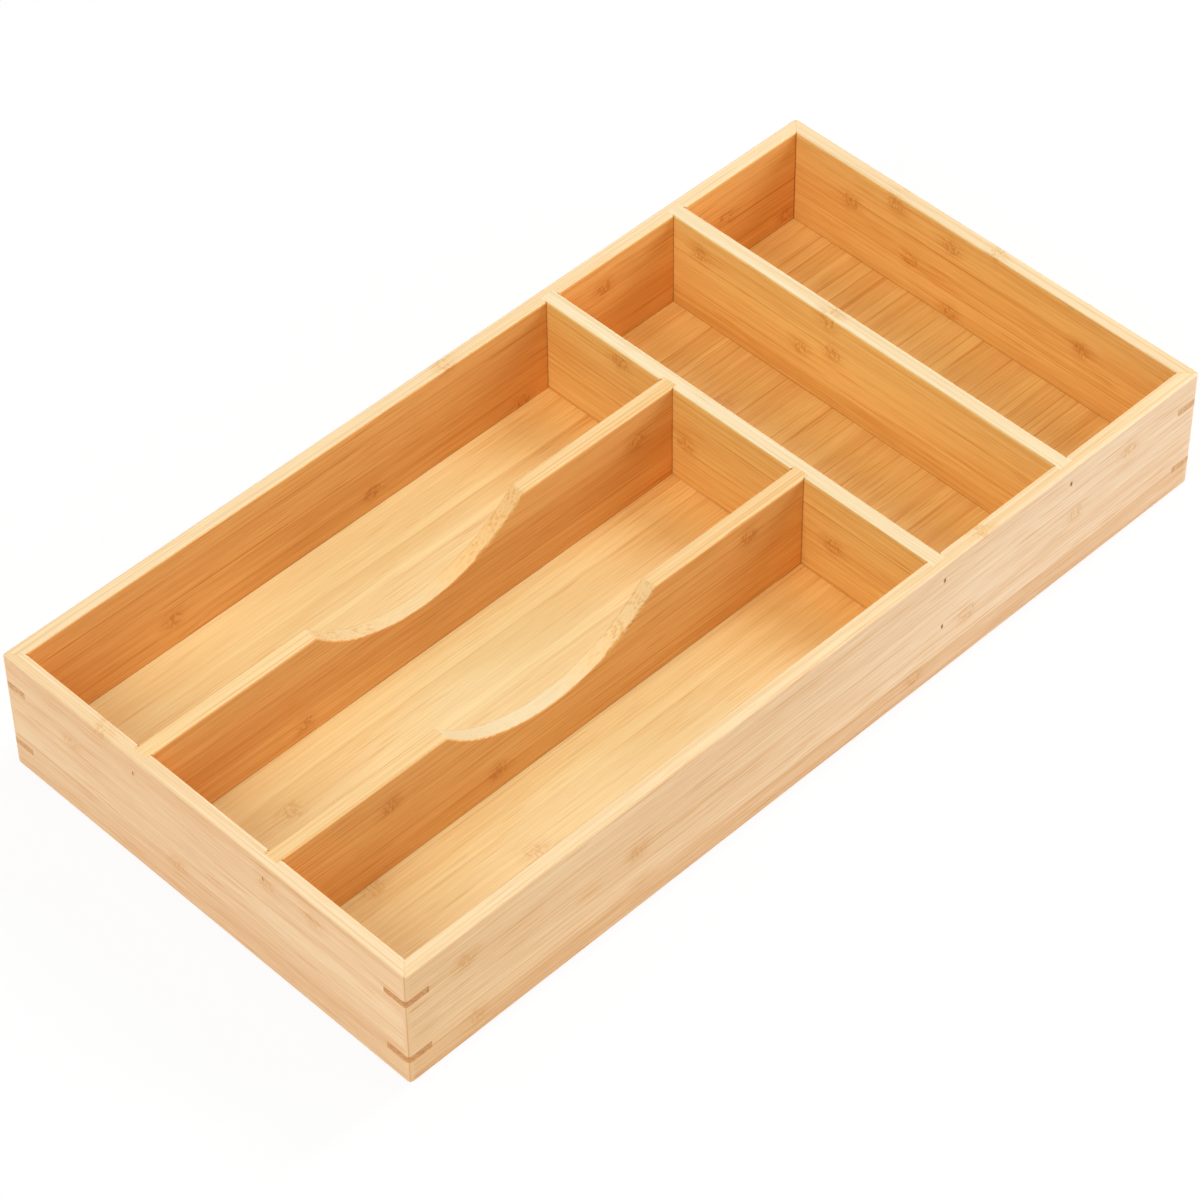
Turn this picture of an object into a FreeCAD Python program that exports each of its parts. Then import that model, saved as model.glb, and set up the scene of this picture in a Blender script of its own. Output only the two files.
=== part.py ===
import FreeCAD
import Part
import os

# Bamboo cutlery tray. Millimetres, +Z up, +Y towards the back, +X to the right.
# The origin lies under the middle of the tray, on the surface that it stands on.

# Outer frame
tray_length = 380.0
tray_width = 194.0
tray_height = 53.0
wall_thickness = 6.0
corner_radius = 1.5
edge_ease = 0.8

# Base panel, held in a groove round the frame
base_thickness = 5.0
base_lift = 6.0
base_groove_depth = 3.0
base_swelling_room = 0.4

# Dividers
divider_thickness = 6.4
cross_bay_depth = 58.0
side_dado_depth = 3.0
end_dado_depth = 2.2

# Finger scoop in the top edge of each long divider
scoop_length = 95.0
scoop_depth = 20.0
scoop_lip_radius = 1.5

# Keys let into the mitred corners
key_thickness = 3.0
key_leg = 10.0
upper_key_drop = 13.2
lower_key_rise = 11.8

# Brads of flat wire through walls into divider ends
brad_length = 18.0
brad_wire_width = 1.2
brad_wire_thickness = 1.0
brad_head_width = 1.9
brad_head_thickness = 0.6
brad_point_length = 1.6
brad_sink = 0.3
brad_clearance = 0.05
upper_brad_drop = 7.0
lower_brad_rise = 12.5

# Working values
overrun = 4.0
match_tolerance = 0.001

# Derived places
half_length = tray_length / 2
half_width = tray_width / 2
inner_half_length = half_length - wall_thickness
inner_half_width = half_width - wall_thickness
floor_top = base_lift + base_thickness
rear_divider_y = inner_half_length - cross_bay_depth - divider_thickness / 2
front_divider_y = rear_divider_y - divider_thickness - cross_bay_depth
long_bay_back = front_divider_y - divider_thickness / 2
long_bay_width = (2 * inner_half_width - 2 * divider_thickness) / 3
long_divider_x = (long_bay_width + divider_thickness) / 2
scoop_y = (long_bay_back - inner_half_length) / 2
lower_brad = floor_top + lower_brad_rise
upper_brad = tray_height - upper_brad_drop
key_levels = {"lower": lower_key_rise, "upper": tray_height - upper_key_drop}
corners = {
    "front_left": (-1, -1),
    "front_right": (1, -1),
    "back_left": (-1, 1),
    "back_right": (1, 1),
}


def block(x0, x1, y0, y1, z0, z1):
    return Part.makeBox(x1 - x0, y1 - y0, z1 - z0, FreeCAD.Vector(x0, y0, z0))


def plan_prism(points, z0, z1):
    corner_points = [FreeCAD.Vector(x, y, z0) for x, y in points]
    outline = Part.makePolygon(corner_points + corner_points[:1])
    return Part.Face(outline).extrude(FreeCAD.Vector(0, 0, z1 - z0))


def edges_at_height(solid, z):
    found = []
    for edge in solid.Edges:
        box = edge.BoundBox
        if abs(box.ZMin - z) < match_tolerance and abs(box.ZMax - z) < match_tolerance:
            found.append(edge)
    return found


def upright_edges(solid):
    found = []
    for edge in solid.Edges:
        box = edge.BoundBox
        if box.XLength < match_tolerance and box.YLength < match_tolerance:
            found.append(edge)
    return found


# The frame is rounded in one piece, then parted at the mitres.
def outer_block():
    body = block(-half_width, half_width, -half_length, half_length, 0, tray_height)
    body = body.makeFillet(corner_radius, upright_edges(body))
    rims = edges_at_height(body, 0) + edges_at_height(body, tray_height)
    return body.makeFillet(edge_ease, rims)


def frame_ring(outer):
    inner = block(
        -inner_half_width, inner_half_width, -inner_half_length, inner_half_length, -overrun, tray_height + overrun
    )
    ring = outer.cut(inner)
    lip = [edge for edge in edges_at_height(ring, tray_height) if inside_edge(edge)]
    return ring.makeFillet(edge_ease, lip)


def inside_edge(edge):
    box = edge.BoundBox
    reach_x = max(abs(box.XMin), abs(box.XMax))
    reach_y = max(abs(box.YMin), abs(box.YMax))
    return reach_x < inner_half_width + match_tolerance and reach_y < inner_half_length + match_tolerance


# Plan of the wedge between two mitre planes: along is the wall's half length, across its outer face.
def mitre_plan(along, across):
    reach = wall_thickness + overrun
    return [
        (-along - overrun, -across - overrun),
        (along + overrun, -across - overrun),
        (along - reach, -across + reach),
        (-along + reach, -across + reach),
    ]


def wall_wedge(side):
    if side in ("front", "back"):
        turn = -1 if side == "back" else 1
        plan = [(turn * x, turn * y) for x, y in mitre_plan(half_width, half_length)]
    else:
        turn = -1 if side == "right" else 1
        plan = [(turn * y, -turn * x) for x, y in mitre_plan(half_length, half_width)]
    return plan_prism(plan, -overrun, tray_height + overrun)


def base_groove():
    reach_x = inner_half_width + base_groove_depth
    reach_y = inner_half_length + base_groove_depth
    return block(-reach_x, reach_x, -reach_y, reach_y, base_lift, floor_top)


def base_panel():
    reach_x = inner_half_width + base_groove_depth - base_swelling_room
    reach_y = inner_half_length + base_groove_depth - base_swelling_room
    return block(-reach_x, reach_x, -reach_y, reach_y, base_lift, floor_top)


# A corner key is a flat triangle across the mitre, cut flush with the outer faces.
def key_slot(sign_x, sign_y, level):
    tip = (sign_x * half_width, sign_y * half_length)
    along_x = (tip[0] - sign_x * key_leg, tip[1])
    along_y = (tip[0], tip[1] - sign_y * key_leg)
    return plan_prism([tip, along_x, along_y], level - key_thickness / 2, level + key_thickness / 2)


# Room for a cross divider, from dado to dado; the top stays open.
def cross_divider_room(y, height):
    reach = inner_half_width + side_dado_depth
    return block(-reach, reach, y - divider_thickness / 2, y + divider_thickness / 2, floor_top, height)


def long_divider_room(x, height):
    front = -inner_half_length - end_dado_depth
    back = long_bay_back + end_dado_depth
    return block(x - divider_thickness / 2, x + divider_thickness / 2, front, back, floor_top, height)


# Eases the rims of a board over its clear stretch only: the tongues stay square and fill their dados.
def eased(board, rims, clear_stretch):
    waste = board.cut(board.makeFillet(edge_ease, rims))
    return board.cut(waste.common(clear_stretch))


def cross_divider(y):
    board = cross_divider_room(y, tray_height)
    rims = [edge for edge in edges_at_height(board, tray_height) if edge.BoundBox.XLength > divider_thickness]
    reach = inner_half_width + edge_ease
    near = y - divider_thickness
    far = y + divider_thickness
    return eased(board, rims, block(-reach, reach, near, far, floor_top, tray_height + overrun))


# The scoop is a circular arc through its two lips and its lowest point.
def long_divider(x):
    left = x - divider_thickness / 2
    front = -inner_half_length - end_dado_depth
    back = long_bay_back + end_dado_depth
    low_front = FreeCAD.Vector(left, front, floor_top)
    top_front = FreeCAD.Vector(left, front, tray_height)
    lip_front = FreeCAD.Vector(left, scoop_y - scoop_length / 2, tray_height)
    dip = FreeCAD.Vector(left, scoop_y, tray_height - scoop_depth)
    lip_back = FreeCAD.Vector(left, scoop_y + scoop_length / 2, tray_height)
    top_back = FreeCAD.Vector(left, back, tray_height)
    low_back = FreeCAD.Vector(left, back, floor_top)
    outline = [
        Part.LineSegment(low_front, top_front),
        Part.LineSegment(top_front, lip_front),
        Part.Arc(lip_front, dip, lip_back),
        Part.LineSegment(lip_back, top_back),
        Part.LineSegment(top_back, low_back),
        Part.LineSegment(low_back, low_front),
    ]
    wire = Part.Wire([curve.toShape() for curve in outline])
    board = Part.Face(wire).extrude(FreeCAD.Vector(divider_thickness, 0, 0))
    board = board.makeFillet(scoop_lip_radius, scoop_lips(board, lip_front, lip_back))
    near = -inner_half_length - edge_ease
    far = long_bay_back + edge_ease
    right = left + divider_thickness
    return eased(board, long_rims(board), block(left, right, near, far, floor_top, tray_height + overrun))


def scoop_lips(board, lip_front, lip_back):
    found = []
    for edge in board.Edges:
        box = edge.BoundBox
        if abs(box.ZMin - tray_height) > match_tolerance or box.YLength > match_tolerance:
            continue
        if min(abs(box.YMin - lip_front.y), abs(box.YMin - lip_back.y)) < match_tolerance:
            found.append(edge)
    return found


# The edges along the top of the board: straight stretches, lips and the scoop.
def long_rims(board):
    found = []
    for edge in board.Edges:
        box = edge.BoundBox
        on_face = box.XLength < match_tolerance
        if on_face and box.YLength > match_tolerance and box.ZMax > floor_top + match_tolerance:
            found.append(edge)
    return found


# One brad along +X, upright side profile: flat head at the start, straight wire, chisel point ahead.
# Spare room makes the same form serve as the hole, whose mouth then runs out past the face.
def brad_form(spare, mouth):
    head = brad_head_width / 2 + spare
    wire = brad_wire_width / 2 + spare
    side = brad_wire_thickness / 2 + spare
    upper_half = [
        (-mouth, head),
        (brad_head_thickness, head),
        (brad_head_thickness, wire),
        (brad_length - brad_point_length, wire),
        (brad_length + spare, 0),
    ]
    lower_half = [(x, -z) for x, z in reversed(upper_half[:-1])]
    profile = [FreeCAD.Vector(x, -side, z) for x, z in upper_half + lower_half]
    face = Part.Face(Part.makePolygon(profile + profile[:1]))
    return face.extrude(FreeCAD.Vector(0, 2 * side, 0))


def driven(form, place, way):
    turned = form.copy()
    turned.Placement = FreeCAD.Placement(place, FreeCAD.Rotation(FreeCAD.Vector(1, 0, 0), way))
    return turned


# Where each row of brads starts and which way it points. The front cross divider has a pair at each end,
# the other joints one brad near the top.
def brad_places():
    side = half_width - brad_sink
    front = -half_length + brad_sink
    rear_face = front_divider_y + divider_thickness / 2 - brad_sink
    into_right = FreeCAD.Vector(1, 0, 0)
    into_back = FreeCAD.Vector(0, 1, 0)
    rows = {"left_wall_brads": [], "right_wall_brads": [], "front_wall_brads": [], "cross_divider_brads": []}
    for y, z in ((front_divider_y, lower_brad), (front_divider_y, upper_brad), (rear_divider_y, upper_brad)):
        rows["left_wall_brads"].append((FreeCAD.Vector(-side, y, z), into_right))
        rows["right_wall_brads"].append((FreeCAD.Vector(side, y, z), into_right * -1))
    for x in (-long_divider_x, long_divider_x):
        rows["front_wall_brads"].append((FreeCAD.Vector(x, front, upper_brad), into_back))
        rows["cross_divider_brads"].append((FreeCAD.Vector(x, rear_face, upper_brad), into_back * -1))
    return rows


def build():
    outer = outer_block()
    ring = frame_ring(outer)
    brad_rows = brad_places()
    brad = brad_form(0, 0)
    brad_hole = brad_form(brad_clearance, overrun)
    holes = [driven(brad_hole, place, way) for row in brad_rows.values() for place, way in row]

    slots = {}
    for corner, signs in corners.items():
        for level_name, level in key_levels.items():
            slots[corner + "_" + level_name + "_key"] = key_slot(*signs, level)

    open_top = tray_height + overrun
    cross_rooms = [cross_divider_room(y, open_top) for y in (front_divider_y, rear_divider_y)]
    long_rooms = [long_divider_room(x, open_top) for x in (-long_divider_x, long_divider_x)]

    nodes = {}
    wall_cuts = [base_groove()] + cross_rooms + long_rooms + list(slots.values()) + holes
    for side in ("front", "back", "left", "right"):
        nodes[side + "_wall"] = ring.common(wall_wedge(side)).cut(wall_cuts)
    nodes["base_panel"] = base_panel().cut(list(slots.values()))
    nodes["front_cross_divider"] = cross_divider(front_divider_y).cut(long_rooms + holes)
    nodes["rear_cross_divider"] = cross_divider(rear_divider_y).cut(holes)
    nodes["left_long_divider"] = long_divider(-long_divider_x).cut(holes)
    nodes["right_long_divider"] = long_divider(long_divider_x).cut(holes)
    for name, slot in slots.items():
        nodes[name] = slot.common(outer)
    for name, row in brad_rows.items():
        nodes[name] = Part.makeCompound([driven(brad, place, way) for place, way in row])
    return nodes


def single(shape):
    solids = shape.Solids
    return solids[0] if len(solids) == 1 else Part.makeCompound(solids)


os.makedirs("parts", exist_ok=True)
for name, shape in build().items():
    piece = single(shape)
    piece.exportStep("parts/" + name + ".step")
    print(name, len(piece.Solids), "solid(s)", round(piece.Volume), "mm3", "valid" if piece.isValid() else "INVALID")
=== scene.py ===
import math
import bpy
from mathutils import Matrix, Vector


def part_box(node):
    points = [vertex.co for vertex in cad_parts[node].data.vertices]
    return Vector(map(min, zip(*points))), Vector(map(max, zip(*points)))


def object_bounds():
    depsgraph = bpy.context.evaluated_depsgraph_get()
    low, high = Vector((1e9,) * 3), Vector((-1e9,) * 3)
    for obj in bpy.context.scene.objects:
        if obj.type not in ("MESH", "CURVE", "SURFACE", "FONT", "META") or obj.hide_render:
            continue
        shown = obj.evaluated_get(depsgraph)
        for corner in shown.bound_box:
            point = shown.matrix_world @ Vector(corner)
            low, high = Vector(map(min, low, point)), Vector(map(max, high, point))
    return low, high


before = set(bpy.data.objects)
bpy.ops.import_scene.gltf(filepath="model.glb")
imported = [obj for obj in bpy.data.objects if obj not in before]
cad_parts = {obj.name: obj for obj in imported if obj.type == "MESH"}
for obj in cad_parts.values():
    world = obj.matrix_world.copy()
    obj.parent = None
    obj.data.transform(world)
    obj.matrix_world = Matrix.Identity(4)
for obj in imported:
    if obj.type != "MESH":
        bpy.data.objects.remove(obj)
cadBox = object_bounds()
print("tray loaded:", len(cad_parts), "pieces")


def srgb(red, green, blue):                      # screen colour, 0 to 255, to the linear one of shaders
    parts = [value / 255 for value in (red, green, blue)]
    linear = [p / 12.92 if p <= 0.04045 else ((p + 0.055) / 1.055) ** 2.4 for p in parts]
    return (*linear, 1.0)


class Wire:                                      # a node's output that can stand in a sum
    def __init__(self, graph, socket):
        self.graph = graph
        self.socket = socket

    def __add__(self, other):
        return self.graph.math("ADD", self, other)

    def __radd__(self, other):
        return self.graph.math("ADD", other, self)

    def __sub__(self, other):
        return self.graph.math("SUBTRACT", self, other)

    def __rsub__(self, other):
        return self.graph.math("SUBTRACT", other, self)

    def __mul__(self, other):
        return self.graph.math("MULTIPLY", self, other)

    def __rmul__(self, other):
        return self.graph.math("MULTIPLY", other, self)

    def __truediv__(self, other):
        return self.graph.math("DIVIDE", self, other)

    def __abs__(self):
        return self.graph.math("ABSOLUTE", self)

    def __floor__(self):
        return self.graph.math("FLOOR", self)

    def fraction(self):
        return self.graph.math("FRACT", self)


class Graph:                                     # one node tree and the few calls that fill it
    def __init__(self, tree):
        self.tree = tree
        tree.nodes.clear()

    def node(self, kind, settings=None, sockets=None, out=0):
        made = self.tree.nodes.new("ShaderNode" + kind)
        for key, value in (settings or {}).items():
            setattr(made, key, value)
        for key, value in (sockets or {}).items():
            if isinstance(value, Wire):
                self.tree.links.new(value.socket, made.inputs[key])
            else:
                made.inputs[key].default_value = value
        if isinstance(out, tuple):
            return [Wire(self, made.outputs[key]) for key in out]
        return Wire(self, made.outputs[out]) if made.outputs else made

    def math(self, operation, first, second=None):
        sockets = {0: first} if second is None else {0: first, 1: second}
        return self.node("Math", {"operation": operation}, sockets)

    def step(self, value, zero, one):            # 0 at the first limit, 1 at the second, smooth between
        span = {"Value": value, "From Min": zero, "From Max": one}
        return self.node("MapRange", {"interpolation_type": "SMOOTHSTEP"}, span)

    def between(self, share, first, second):     # the first number at a share of 0, the second at 1
        return share * (second - first) + first

    def blend(self, share, first, second, kind="MIX"):
        settings = {"data_type": "RGBA", "blend_type": kind}
        return self.node("Mix", settings, {0: share, 6: first, 7: second}, 2)

    def stain(self, share, colour, tint):        # the tint is what a share of 1 leaves of the colour
        return self.blend(share, colour, tint, "MULTIPLY")

    def stretched(self, place, along, across):   # place squeezed to one unit per given length, in millimetres
        scale = (1 / along, 1 / across, 1 / across)
        return self.node("VectorMath", {"operation": "MULTIPLY"}, {0: place, 1: scale})

    def noise(self, place, along, across, detail):
        squeezed = self.stretched(place, along, across)
        sockets = {"Vector": squeezed, "Scale": 1.0, "Detail": detail, "Roughness": 0.55}
        return self.node("TexNoise", {"noise_dimensions": "3D"}, sockets)

    def bundles(self, place, along, across):     # gap to the nearest fibre bundle, and its random number
        sockets = {"Vector": self.stretched(place, along, across), "Scale": 1.0, "Randomness": 1.0}
        settings = {"voronoi_dimensions": "3D", "feature": "F1"}
        near, cell = self.node("TexVoronoi", settings, sockets, ("Distance", "Color"))
        return near, self.node("SeparateColor", None, {0: cell}, 0)

    def chance(self, value):                     # one steady random number for each whole number
        return self.node("TexWhiteNoise", {"noise_dimensions": "1D"}, {"W": value})


def newMaterial(name):
    material = bpy.data.materials.new(name)
    material.use_nodes = True
    return material, Graph(material.node_tree)


gloss = dict(specular=0.3, coatRoughness=0.3)


def finishSurface(graph, colour, roughness, height, depth, coat):
    bump = graph.node("Bump", None, {"Strength": 1.0, "Distance": depth, "Height": height})
    sockets = {"Base Color": colour, "Roughness": roughness, "Normal": bump, "Coat Weight": coat,
               "Specular IOR Level": gloss["specular"], "Coat Roughness": gloss["coatRoughness"]}
    shader = graph.node("BsdfPrincipled", None, sockets)
    graph.node("OutputMaterial", None, {"Surface": shader})


# Sizes read from the frame, in millimetres
perMetre = 1000.0
outerX, outerY, topZ = (value * perMetre for value in cadBox[1])
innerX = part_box("right_wall")[0].x * perMetre
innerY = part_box("back_wall")[0].y * perMetre
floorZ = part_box("base_panel")[1].z * perMetre
jointOffset = outerX - outerY                    # on a mitre, how far across less how far along

bambooTints = dict(                              # what a darker mark leaves of the tone under it
    deep=(0.80, 0.60, 0.40, 1.0),                # the darkest strips and bands
    streak=(0.86, 0.67, 0.41, 1.0),              # fibre bundles
    line=(0.78, 0.52, 0.28, 1.0),                # glue lines between strips
    node=(0.72, 0.48, 0.26, 1.0),                # marks where the cane had its rings
    pore=(0.87, 0.66, 0.38, 1.0),                # bundles cut across
    jointAndGapShade=(0.40, 0.23, 0.11, 1.0),               # hairlines where pieces meet, partly the joint's own colour and partly painted gap shade
)
deepMean = 0.35                                  # the share of the deep tint that a plain stretch has
fibreDepth = 0.00006                             # metres of relief in the bamboo's surface


def lightest(red, green, blue):                  # the tone that the mean deep tint makes this colour
    parts = zip(srgb(red, green, blue)[:3], bambooTints["deep"])
    return (*[min(value / (1 - deepMean * (1 - tint)), 1.0) for value, tint in parts], 1.0)


seedShift = (171.3, 43.7, 29.9)                  # millimetres that a seed of 1 moves the noises


def grainPlaces(graph, turn, seed):
    # The place itself, and the same in millimetres with the first axis along the grain, moved by the seed
    spot = graph.node("TexCoord", None, None, "Object")
    sockets = {"Vector": spot, "Rotation": (0, 0, turn), "Scale": (perMetre,) * 3}
    turned = graph.node("Mapping", {"vector_type": "POINT"}, sockets)
    shift = tuple(seed * part for part in seedShift)
    seeded = graph.node("VectorMath", {"operation": "ADD"}, {0: turned, 1: shift})
    return spot, seeded


def stripLayout(graph, across, strip):
    # A steady random number for the glued strip that a point lies in, and how far the strip's edge is
    count = across / strip["width"] + strip["phase"]
    for pitch, phase, swing in strip.get("waves", ()):
        count = count + graph.math("SINE", across * pitch + phase) * swing
    pick = graph.chance(math.floor(count) + strip["seed"])
    part = count.fraction()
    edgeGap = graph.math("MINIMUM", part, 1.0 - part) * strip["width"]
    return pick, edgeGap


figureLook = dict(                               # noises: millimetres along the grain, across it, and detail
    stripMove=(900.0, 37.0, 11.0),               # how far a strip's random number moves its figure
    fine=(20.0, 0.4, 3.0),
    bands=(130.0, 1.3, 4.0),
    broad=(120.0, 9.0, 1.0),
    streak=(80.0, 0.65, 2.0), streakRise=(0.57, 0.70),
    bundle=(26.0, 0.9), bundleFall=(0.34, 0.16), bundlePick=(0.2, 0.45),
    cluster=(45.0, 5.0, 1.0), clusterRise=(0.44, 0.60),
)


def bambooFigure(graph, seeded, pick):
    # Each strip is cut from another cane, so its figure is moved along by its own random number
    look = figureLook
    moveX, moveY, moveZ = look["stripMove"]
    move = graph.node("CombineXYZ", None, {"X": pick * moveX, "Y": pick * moveY, "Z": pick * moveZ})
    place = graph.node("VectorMath", {"operation": "ADD"}, {0: seeded, 1: move})
    fine = graph.noise(place, *look["fine"])
    bands = graph.noise(place, *look["bands"])
    broad = graph.noise(place, *look["broad"])
    streak = graph.step(graph.noise(place, *look["streak"]), *look["streakRise"])
    near, cell = graph.bundles(place, *look["bundle"])
    dash = graph.step(near, *look["bundleFall"]) * graph.step(cell, *look["bundlePick"])
    dash = dash * graph.step(graph.noise(place, *look["cluster"]), *look["clusterRise"])
    return dict(fine=fine, bands=bands, broad=broad, streak=streak, dash=dash, place=place)


markLook = dict(                                 # millimetres; rises and falls in noise or mark sizes
    length=6.0, width=4.8, farOff=9.0,
    wander=(5.0, 2.0, 2.0), wanderReach=5.0,
    stroke=(1.1, 2.4, 1.0), strokeRise=(0.46, 0.54), strokeFall=(0.85, 0.45),
    dash=(7.0, 0.6, 1.0), dashRise=(0.47, 0.57), dashFall=(1.5, 0.5), dashShare=0.7,
    haloFall=(1.3, 0.0), haloShare=0.2,
)


def nodeMarks(graph, seeded, along, across, marks):
    # In the middle of each mark short strokes across the grain, round them dashes along it and a faint halo
    look = markLook
    wander = (graph.noise(seeded, *look["wander"]) - 0.5) * look["wanderReach"]
    sockets = {"X": (along + wander) / look["length"], "Y": across / look["width"]}
    flat = graph.node("CombineXYZ", None, sockets)
    nearest = look["farOff"]
    for markAlong, markAcross in marks:
        middle = (markAlong / look["length"], markAcross / look["width"], 0.0)
        gap = graph.node("VectorMath", {"operation": "DISTANCE"}, {0: flat, 1: middle}, "Value")
        nearest = graph.math("MINIMUM", nearest, gap)
    strokes = graph.step(graph.noise(seeded, *look["stroke"]), *look["strokeRise"])
    strokes = strokes * graph.step(nearest, *look["strokeFall"])
    dashes = graph.step(graph.noise(seeded, *look["dash"]), *look["dashRise"])
    dashes = dashes * graph.step(nearest, *look["dashFall"]) * look["dashShare"]
    halo = graph.step(nearest, *look["haloFall"]) * look["haloShare"]
    return graph.math("MAXIMUM", graph.math("MAXIMUM", strokes, dashes), halo)


boardLook = dict(                                # lengths in millimetres, slopes and shares from 0 to 1
    edgeSlope=(0.7, 0.92),                       # a face turned up or down this far is an edge
    scoopedSlope=(0.7, 0.4),                     # on a scooped board, one turned sideways no further
    insideReach=(4.0, 2.0),                      # how far into a wall the inside's painted-shade tone goes
    paintedReflectionBehind=(-200.0, 200.0),                   # where the painted reflection that makes an outside paler behind changes
    cornerReach=(0.4, 3.0),                      # how far from a wall's end its figure fades in
    broad=0.8, outsideBands=0.4, outsideLine=0.5,
    footBlur=0.3,
    glue=(55.0, 6.0, 1.0), glueRise=(0.40, 0.58), glueWidth=(0.06, 0.46), glueCore=0.02,
    layer=(150.0, 0.8, 1.0), layerRise=(0.47, 0.62),
    roughness=(0.42, 0.62),
    fineHeight=0.6, dashHeight=-0.3, streakHeight=-0.2, lineHeight=-0.4,
)


def boardPlaces(graph, look):
    # Where a point is in millimetres, how far it is on an edge, and how far inside the tray
    grainX = look["grain"] == "x"
    spot, seeded = grainPlaces(graph, 0.0 if grainX else -math.pi / 2, look["seed"])
    x, y, z = (part * perMetre for part in graph.node("SeparateXYZ", None, {0: spot}, (0, 1, 2)))
    normal = graph.node("NewGeometry", None, None, "Normal")
    normalX, normalY, lift = graph.node("SeparateXYZ", None, {0: normal}, (0, 1, 2))
    if look.get("flat"):
        edge = 0.0
    elif look.get("scooped"):                    # a scoop's steep ends are edge too
        edge = graph.step(abs(normalX), *boardLook["scoopedSlope"])
    else:
        edge = graph.step(abs(lift), *boardLook["edgeSlope"])
    far, near = boardLook["insideReach"]
    inside = graph.step(abs(x), innerX + far, innerX + near) * graph.step(abs(y), innerY + far, innerY + near)
    run, through, end = (x, y, outerX) if grainX else (y, x, outerY)
    across = x if look.get("flat") else z
    return dict(x=x, y=y, z=z, run=run, through=through, across=across, end=end, seeded=seeded,
                normalY=normalY, edge=edge, inside=inside)


panelLook = dict(                                # what changes towards the back, in millimetres
    # the deeper tone behind is painted shade from the crosswise bays
    paintedShadeBehind=(-20.0, 60.0), frontFigure=0.65,
    glueLines=(40.0, 70.0), frontLines=0.5,
)
scoopLook = dict(                                # lengths in millimetres, slopes and shares from 0 to 1
    start=(0.02, 0.3),                           # how far below the top a scoop's own look sets in
    rear=(0.05, -0.38),                          # the slope along the tray where its rear end does
    figure=0.35, layers=0.3, relief=0.2,         # what a sanded scoop keeps of these
    bundle=(12.0, 1.1), bundleFall=(0.55, 0.30), rearDots=0.6,
    steep=(0.2, 0.42), layerHeight=6.5, layerFall=(3.2, 1.2),
)


def boardTone(graph, at, look):
    # The tone under the figure, how strongly that shows, and the deep tint's share in a plain stretch
    outer = look["outer"]
    if look.get("paintedReflectionBehind"):                    # painted reflection: the outside is paler towards the back
        outer = graph.blend(graph.step(at["y"], *boardLook["paintedReflectionBehind"]), outer, look["paintedReflectionBehind"])
    # painted shade: the inside faces get a deeper, more orange tone that stands in for the shade and coloured
    # bounce light in the bays, and boards facing the front get a lighter one
    tone = graph.blend(at["inside"], outer, look["inner"])
    deepShare = deepMean
    if look.get("flat"):                         # painted shade: the panel is deeper in tone behind, where the crosswise bays shade it, and its figure stronger
        behind = graph.step(at["y"], *panelLook["paintedShadeBehind"])
        tone = graph.blend(behind, tone, look["paintedShadeBehind"])
        return tone, graph.between(behind, panelLook["frontFigure"], 1.0), deepShare
    # faces turned up or down get the paler edge tone: partly edge grain, partly a painted sheen of the lamps
    # above on the tops
    tone = graph.blend(at["edge"], tone, look["edge"])
    figureShare = 1.0 - at["edge"] * look["edgeCalm"]
    if look.get("scooped"):                      # a scoop is calmer still; its rear end, turned to the front and away from the key light, gets a deeper painted shade tone
        scoopTone = graph.blend(at["rear"], look["scoop"], look["scoopRearShade"])
        tone = graph.blend(at["dip"], tone, scoopTone)
        figureShare = figureShare * graph.between(at["dip"], 1.0, scoopLook["figure"])
        deepShare = (1.0 - at["dip"]) * deepMean
    if look.get("mitred"):                       # rounded corners show no figure
        near, far = boardLook["cornerReach"]
        figureShare = figureShare * graph.step(abs(at["run"]), at["end"] - near, at["end"] - far)
    return tone, figureShare, deepShare


def glueLines(graph, at, look, edgeGap):         # broken lines between strips, weaker outside the tray
    broken = graph.step(graph.noise(at["seeded"], *boardLook["glue"]), *boardLook["glueRise"])
    line = graph.step(edgeGap, graph.between(broken, *boardLook["glueWidth"]), boardLook["glueCore"]) * broken
    line = line * (1.0 - at["edge"]) * graph.between(at["inside"], boardLook["outsideLine"], 1.0)
    if look.get("flat"):                         # they show most under the crosswise bays
        behind = graph.step(at["y"], *panelLook["glueLines"])
        line = line * graph.between(behind, panelLook["frontLines"], 1.0)
    return line


def scoopDots(graph, at, look, place):           # fibre bundles cut across, which crowd in some layers
    near = graph.bundles(place, *scoopLook["bundle"])[0]
    dots = graph.step(near, *scoopLook["bundleFall"])
    layerHeight = scoopLook["layerHeight"]
    layerGap = abs(((at["z"] - look["crowded"]) / layerHeight + 0.5).fraction() - 0.5) * layerHeight
    steep = graph.step(abs(at["normalY"]), *scoopLook["steep"])
    share = graph.between(at["rear"], look["frontDots"], scoopLook["rearDots"])
    return dots * steep * graph.step(layerGap, *scoopLook["layerFall"]) * share


jointLook = dict(                                # reaches in millimetres, shares from 0 to 1
    touching=0.5,                                # boards nearer than this meet
    floorGapShade=(0.5, 0.1), hairline=(0.45, 0.1), sideReach=(1.0, 2.0), share=0.5,
    mitre=(0.4, 0.1), mitreShare=(0.6, 0.25),    # the mitre's share on faces and on edges
)


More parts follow.
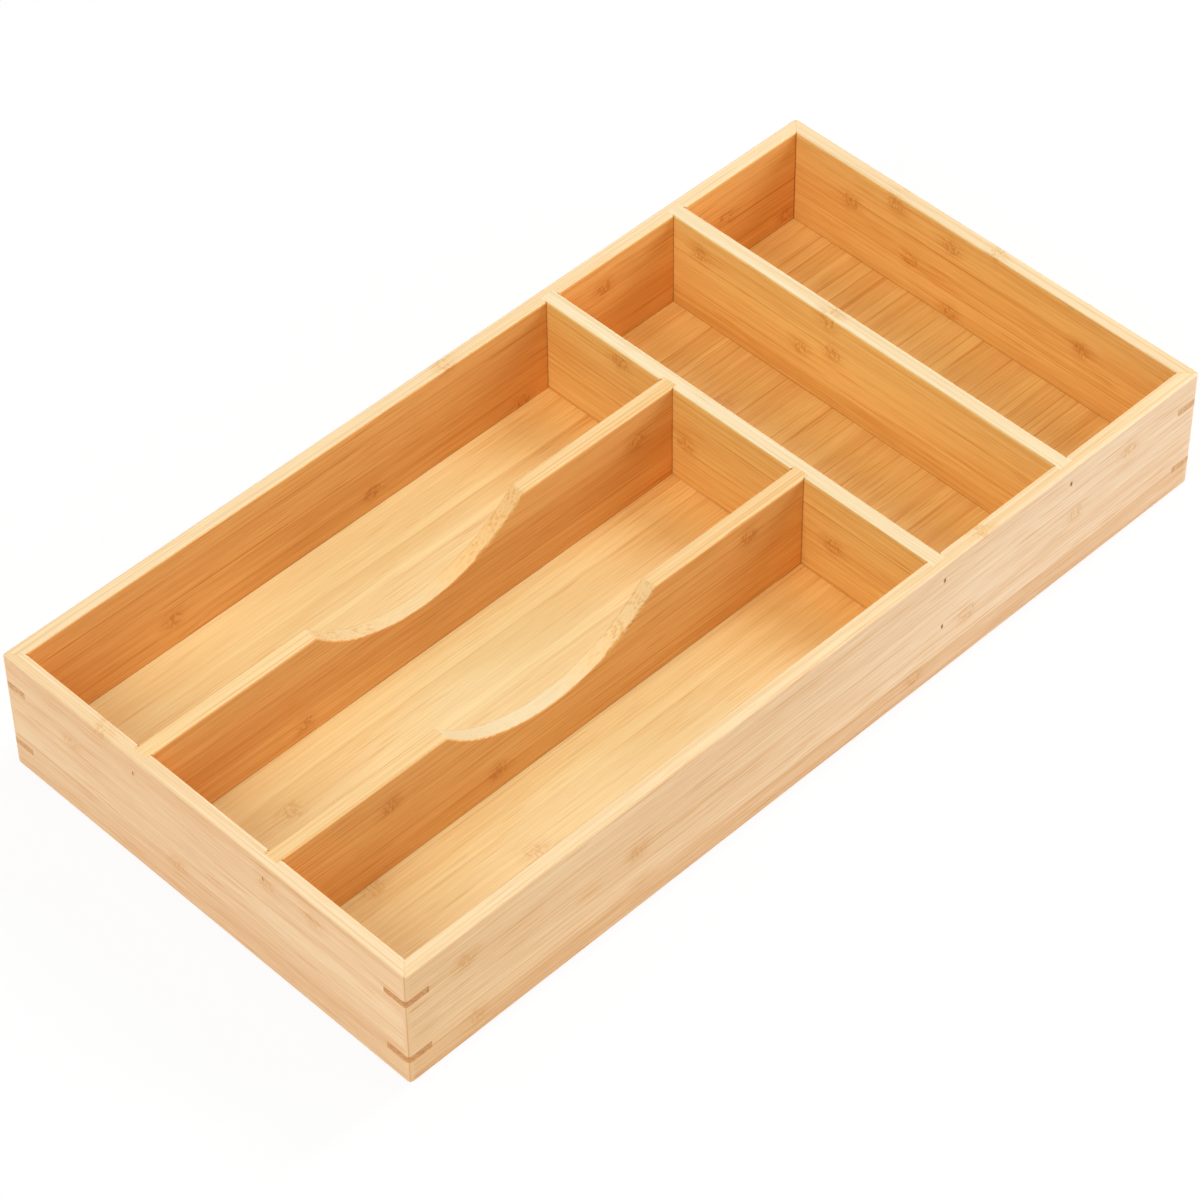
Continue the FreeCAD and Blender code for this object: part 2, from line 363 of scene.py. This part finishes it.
def jointEdges(name, grain):
    # Where other boards end against this one: place along the grain, and which side of it they are on
    along, through = (0, 1) if grain == "x" else (1, 0)
    low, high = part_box(name)
    middle = (low[through] + high[through]) / 2
    reach = jointLook["touching"] / perMetre
    edges = []
    for otherName, other in boards.items():
        otherLow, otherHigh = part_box(otherName)
        apart = any(otherLow[k] > high[k] + reach or otherHigh[k] < low[k] - reach for k in (0, 1))
        if apart or other["grain"] == grain or other.get("flat"):
            continue
        bothSides = otherLow[through] < low[through] - reach and otherHigh[through] > high[through] + reach
        side = 0 if bothSides else math.copysign(1, (otherLow[through] + otherHigh[through]) / 2 - middle)
        ends = (otherLow[along], otherHigh[along])
        edges += [(place * perMetre, side, middle * perMetre) for place in ends]
    return edges


def boardSeams(graph, name, at, look):           # dark hairlines where other boards end against this one and along the floor, partly joint colour and partly painted gap shade
    seamAndGapShade = graph.step(abs(at["z"] - floorZ), *jointLook["floorGapShade"]) * at["inside"]
    for place, side, middle in jointEdges(name, look["grain"]):
        hairline = graph.step(abs(at["run"] - place), *jointLook["hairline"]) * at["inside"]
        if side:
            hairline = hairline * graph.step((at["through"] - middle) * side, *jointLook["sideReach"])
        seamAndGapShade = graph.math("MAXIMUM", seamAndGapShade, hairline)
    return seamAndGapShade * (1.0 - at["edge"]) * jointLook["share"]


def bambooBoard(name, look):
    material, graph = newMaterial(name + "_bamboo")
    at = boardPlaces(graph, look)
    if look.get("scooped"):
        start, full = scoopLook["start"]
        at["dip"] = at["edge"] * graph.step(at["z"], topZ - start, topZ - full)
        at["rear"] = graph.step(at["normalY"], *scoopLook["rear"])
    pick, edgeGap = stripLayout(graph, at["across"], look["strip"])
    figure = bambooFigure(graph, at["seeded"], pick)
    mark = nodeMarks(graph, at["seeded"], at["run"], at["across"], look["marks"])
    tone, figureShare, deepShare = boardTone(graph, at, look)

    vary = (pick - 0.5) * look["stripVary"] + (figure["broad"] - 0.5) * boardLook["broad"]
    bandShare = graph.between(at["inside"], boardLook["outsideBands"], 1.0) * look["bands"]
    vary = vary + (figure["bands"] - 0.5) * bandShare + (figure["fine"] - 0.5) * look["fine"]
    if look.get("foot"):                         # a deeper band along the foot: a deeper strip on the right wall, painted contact shade on the rear cross divider
        footTop, footShare = look["foot"]
        blur = boardLook["footBlur"]
        vary = vary + graph.step(at["z"], footTop + blur, footTop - blur) * footShare
    deep = graph.node("Clamp", None, {"Value": vary * figureShare + deepShare})
    colour = graph.stain(deep, tone, bambooTints["deep"])
    colour = graph.stain(figure["streak"] * figureShare * look["streak"], colour, bambooTints["streak"])
    colour = graph.stain(figure["dash"] * figureShare * look["dash"], colour, bambooTints["streak"])
    line = glueLines(graph, at, look, edgeGap) * figureShare
    colour = graph.stain(line * look["line"], colour, bambooTints["line"])
    markTint = graph.blend(at["inside"] * (1.0 - at["edge"]), bambooTints["streak"], bambooTints["node"])
    colour = graph.stain(mark * look["node"], colour, markTint)

    height = figure["fine"] * boardLook["fineHeight"] + figure["dash"] * boardLook["dashHeight"]
    height = height + figure["streak"] * boardLook["streakHeight"] + line * boardLook["lineHeight"]
    if look.get("scooped"):
        colour = graph.stain(scoopDots(graph, at, look, figure["place"]), colour, bambooTints["pore"])
    if not look.get("flat"):
        layers = graph.step(graph.noise(figure["place"], *boardLook["layer"]), *boardLook["layerRise"])
        layers = layers * at["edge"]             # golden layers seen on the edges
        if look.get("scooped"):
            layers = layers * graph.between(at["dip"], 1.0, scoopLook["layers"])
        colour = graph.stain(layers * look["layered"], colour, bambooTints["streak"])
        # dark joint lines with painted gap shade along the floor and in the inside corners
        seamAndGapShade = boardSeams(graph, name, at, look)
        colour = graph.stain(seamAndGapShade, colour, bambooTints["jointAndGapShade"])
        height = height - seamAndGapShade
    if look.get("mitred"):                       # the mitre is a close glued joint, so only a warm line
        mitre = graph.step(abs(abs(at["x"]) - abs(at["y"]) - jointOffset), *jointLook["mitre"])
        mitre = mitre * graph.between(at["edge"], *jointLook["mitreShare"])
        colour = graph.stain(mitre, colour, bambooTints["line"])
    if look.get("scooped"):
        height = height * graph.between(at["dip"], 1.0, scoopLook["relief"])

    roughness = graph.between(figure["fine"], *boardLook["roughness"])
    finishSurface(graph, colour, roughness, height, fibreDepth, look["coat"])
    return material


# the inside tone of these looks carries painted shade, and the edge tone partly a painted sheen
wallLook = dict(
    outer=lightest(244, 210, 162), inner=lightest(243, 182, 104), edge=lightest(243, 214, 167), edgeCalm=0.6,
    stripVary=0.3, bands=1.35, fine=1.5, streak=0.75, dash=0.85, line=0.8, node=0.68, layered=0.35, coat=0.05,
    mitred=True,
)
crossLook = dict(
    wallLook, inner=lightest(242, 197, 115), edge=lightest(240, 217, 174), mitred=False,
)
longLook = dict(
    crossLook, edge=lightest(241, 203, 144), layered=0.55, scooped=True,
)
baseLook = dict(
    wallLook, outer=lightest(235, 207, 145), inner=lightest(235, 207, 145), paintedShadeBehind=lightest(247, 198, 114),
    stripVary=0.45, bands=0.8, streak=0.5, node=0.45, coat=0.95, mitred=False, flat=True,
)


def strip(width, phase, seed, waves=()):         # waves: pitch, phase and swing of what makes strips uneven
    return dict(width=width, phase=phase, seed=seed, waves=waves)


boards = {                                       # marks: place along the grain and height, in millimetres
    "front_wall": dict(
        wallLook, grain="x", seed=1.0, strip=strip(17.7, 0.1, 3.0), outer=lightest(244, 202, 153),
        edge=lightest(246, 220, 178), streak=0.45, node=0.55,
        marks=((-64, 35), (-13, 16), (55, 45), (-48, 54), (33, 44))),
    "back_wall": dict(
        wallLook, grain="x", seed=2.0, strip=strip(14.7, 0.4, 13.0), inner=lightest(242, 194, 113),
        edge=lightest(240, 213, 168),
        marks=((-63, 37), (-33, 27), (-14, 45), (49, 36), (6, 55), (-41, 49), (-13, 14))),
    "left_wall": dict(
        wallLook, grain="y", seed=3.0, strip=strip(12.4, 0.444, 23.0),
        marks=((-31, 19), (-123, 23), (42, 13), (180, 16), (147, 34), (84, 41), (7, 55))),
    "right_wall": dict(                          # foot: height and strength of a deeper strip
        wallLook, grain="y", seed=4.0, strip=strip(27.5, 0.6, 33.0), foot=(11.0, 0.45),
        # the paler rear tone of its outside is a painted reflection
        outer=lightest(243, 201, 148), paintedReflectionBehind=lightest(243, 210, 172),
        marks=((-164, 40), (-161, 9), (-88, 28), (127, 29), (71, 21), (45, 8), (79, 55), (153, 41))),
    "front_cross_divider": dict(
        crossLook, grain="x", seed=5.0, strip=strip(15.0, 0.2, 43.0), inner=lightest(242, 192, 108),
        marks=((-54, 48), (-22, 30), (49, 30))),
    "rear_cross_divider": dict(
        # its darker foot is painted contact shade
        crossLook, grain="x", seed=6.0, strip=strip(14.5, 0.345, 53.0), foot=(20.0, 0.2),
        marks=((-78, 43), (-12, 37), (-15, 51), (-27, 30))),
    "left_long_divider": dict(                   # crowded: height of a layer full of bundles
        longLook, grain="y", seed=7.0, strip=strip(17.0, 0.7, 63.0), inner=lightest(241, 180, 104),
        scoop=srgb(240, 209, 155), scoopRearShade=srgb(252, 207, 140), crowded=51.0, frontDots=0.6,
        marks=((-120, 17), (38, 40))),
    "right_long_divider": dict(
        longLook, grain="y", seed=8.0, strip=strip(12.0, 0.333, 73.0), inner=lightest(247, 194, 118),
        scoop=srgb(241, 218, 173), scoopRearShade=srgb(252, 217, 157), crowded=48.0, frontDots=0.0,
        marks=((-90, 20), (-138, 41), (28, 44))),
    "base_panel": dict(
        baseLook, grain="y", seed=9.0, strip=strip(5.5, 0.0, 83.0, ((0.21, 0.0, 0.26), (0.53, 1.0, 0.18))),
        marks=((-94, 69), (-101, 63), (-146, -7), (-149, 37), (94, -40), (150, 20))),
}

for nodeName, look in boards.items():
    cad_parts[nodeName].material_slots[0].material = bambooBoard(nodeName, look)
print("boards finished:", len(boards))

falling, rising = math.pi / 4, -math.pi / 4      # a key's grain runs straight across its corner
keyLooks = {
    "front_left": dict(turn=falling, tone=srgb(235, 182, 118), dark=srgb(202, 142, 84), seed=11.0),
    "front_right": dict(turn=rising, tone=srgb(228, 167, 97), dark=srgb(192, 124, 63), seed=12.0),
    "back_left": dict(turn=rising, tone=srgb(235, 182, 118), dark=srgb(202, 142, 84), seed=13.0),
    "back_right": dict(turn=falling, tone=srgb(232, 182, 126), dark=srgb(202, 146, 94), seed=14.0),
}
keyGrain = dict(                                 # noises: millimetres along the grain, across it, and detail
    fine=(14.0, 0.35, 2.0), fineShare=0.6,
    medium=(20.0, 1.2, 2.0), mediumShare=0.4,
    darkRise=(0.38, 0.62), roughness=(0.4, 0.6), coat=0.1,
)


def keyBamboo(name, look):
    material, graph = newMaterial(name)
    seeded = grainPlaces(graph, look["turn"], look["seed"])[1]
    fine = graph.noise(seeded, *keyGrain["fine"])
    grain = fine * keyGrain["fineShare"] + graph.noise(seeded, *keyGrain["medium"]) * keyGrain["mediumShare"]
    colour = graph.blend(graph.step(grain, *keyGrain["darkRise"]), look["tone"], look["dark"])
    roughness = graph.between(fine, *keyGrain["roughness"])
    finishSurface(graph, colour, roughness, fine, fibreDepth, keyGrain["coat"])
    return material


for corner, look in keyLooks.items():
    keyMaterial = keyBamboo(corner + "_key_bamboo", look)
    for nodeName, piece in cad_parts.items():
        if nodeName.startswith(corner) and nodeName.endswith("_key"):
            piece.material_slots[0].material = keyMaterial
print("keys finished:", len(keyLooks), "corners")

bradLooks = dict(                                # heads sunk in the front wall get a lighter tone than the others
    plain=dict(bright=srgb(200, 152, 100), dark=srgb(160, 110, 66), seed=17.0),
    lighter=dict(bright=srgb(228, 184, 134), dark=srgb(206, 158, 108), seed=18.0),
)
bradPatches = dict(                              # tarnished spots; size in millimetres, depth in metres
    size=(0.5, 0.5, 3.0), darkRise=(0.35, 0.65), roughness=(0.35, 0.70), depth=0.00003, coat=0.0,
)


def bradSteel(name, look):
    material, graph = newMaterial(name)
    seeded = grainPlaces(graph, 0.0, look["seed"])[1]
    patch = graph.noise(seeded, *bradPatches["size"])
    colour = graph.blend(graph.step(patch, *bradPatches["darkRise"]), look["bright"], look["dark"])
    roughness = graph.between(patch, *bradPatches["roughness"])
    finishSurface(graph, colour, roughness, patch, bradPatches["depth"], bradPatches["coat"])
    return material


bradMaterials = {key: bradSteel("brad_steel_" + key, look) for key, look in bradLooks.items()}
for nodeName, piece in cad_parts.items():
    if nodeName.endswith("_brads"):
        kind = "lighter" if nodeName.startswith("front_wall") else "plain"
        piece.material_slots[0].material = bradMaterials[kind]
print("brads finished")


# Stage, light and camera
stageLook = dict(size=8.0, colour=srgb(250, 250, 250), lift=0.88, worldLight=0.32)
pureWhite = (1.0, 1.0, 1.0, 1.0)


def straightSight(graph):                        # 1 for what is seen directly, mirrored or through glass
    kinds = ("Is Camera Ray", "Is Glossy Ray", "Is Transmission Ray")
    camera, glossy, through = graph.node("LightPath", None, None, kinds)
    return graph.math("MINIMUM", camera + glossy + through, 1.0)


def whiteFloor():
    half = stageLook["size"] / 2
    corners = [(-half, -half, 0), (half, -half, 0), (half, half, 0), (-half, half, 0)]
    mesh = bpy.data.meshes.new("floor")
    mesh.from_pydata(corners, [], [(0, 1, 2, 3)])
    floor = bpy.data.objects.new("floor", mesh)
    bpy.context.collection.objects.link(floor)
    material, graph = newMaterial("floor_white")
    matt = graph.node("BsdfDiffuse", None, {"Color": stageLook["colour"]})
    glow = graph.node("Emission", None, {"Color": pureWhite, "Strength": 1.0})
    seen = straightSight(graph) * stageLook["lift"]
    both = graph.node("MixShader", None, {0: seen, 1: matt, 2: glow})
    graph.node("OutputMaterial", None, {"Surface": both})
    mesh.materials.append(material)


def whiteWorld():
    world = bpy.data.worlds.new("studio")
    bpy.context.scene.world = world
    world.use_nodes = True
    graph = Graph(world.node_tree)
    soft = graph.node("Background", None, {"Color": pureWhite, "Strength": stageLook["worldLight"]})
    white = graph.node("Background", None, {"Color": pureWhite, "Strength": 1.0})
    both = graph.node("MixShader", None, {0: straightSight(graph), 1: soft, 2: white})
    graph.node("OutputWorld", None, {"Surface": both})


# Places and sizes in metres; a level is the share of full white that the lamp alone gives a surface
# facing it at the origin
lampLooks = dict(
    backLamp=dict(place=(0.12, 1.42, 1.68), width=0.35, height=0.9, level=0.34),
    backLeftLamp=dict(place=(-1.12, 0.98, 1.65), width=1.3, height=1.3, level=0.09),
    topLamp=dict(place=(0.0, -0.1, 2.2), width=0.5, height=1.0, level=0.14),
    frontLamp=dict(place=(0.12, -1.6, 1.45), width=0.35, height=1.0, level=0.37),
    sideLamp=dict(place=(1.1, 1.0, 0.47), width=0.7, height=0.7, level=0.3),
)


def softLamp(name, look):
    lamp = bpy.data.lights.new(name, "AREA")
    lamp.shape = "RECTANGLE"
    lamp.size = look["width"]
    lamp.size_y = look["height"]
    spot = Vector(look["place"])
    lamp.energy = look["level"] * math.pi ** 2 * spot.length_squared
    holder = bpy.data.objects.new(name, lamp)
    holder.location = spot
    holder.rotation_euler = (-spot).to_track_quat("-Z", "Y").to_euler()
    bpy.context.collection.objects.link(holder)


whiteFloor()
whiteWorld()
for lampName, look in lampLooks.items():
    softLamp(lampName, look)

cameraLook = dict(                               # metres, degrees and millimetres
    place=(0.7583, -0.7483, 1.1339), aim=(0.0078, -0.0165, 0.0265), roll=-0.744, lens=134.3, sensor=36.0,
)


def photoCamera():
    lens = bpy.data.cameras.new("camera")
    lens.sensor_width = cameraLook["sensor"]
    lens.lens = cameraLook["lens"]
    place = Vector(cameraLook["place"])
    turn = (Vector(cameraLook["aim"]) - place).to_track_quat("-Z", "Y").to_matrix()
    turn = turn @ Matrix.Rotation(math.radians(cameraLook["roll"]), 3, "Z")
    holder = bpy.data.objects.new("camera", lens)
    holder.matrix_world = Matrix.LocRotScale(place, turn, None)
    bpy.context.collection.objects.link(holder)
    bpy.context.scene.camera = holder


photoCamera()
bpy.context.scene.view_settings.view_transform = "Standard"
print("stage, light and camera set")
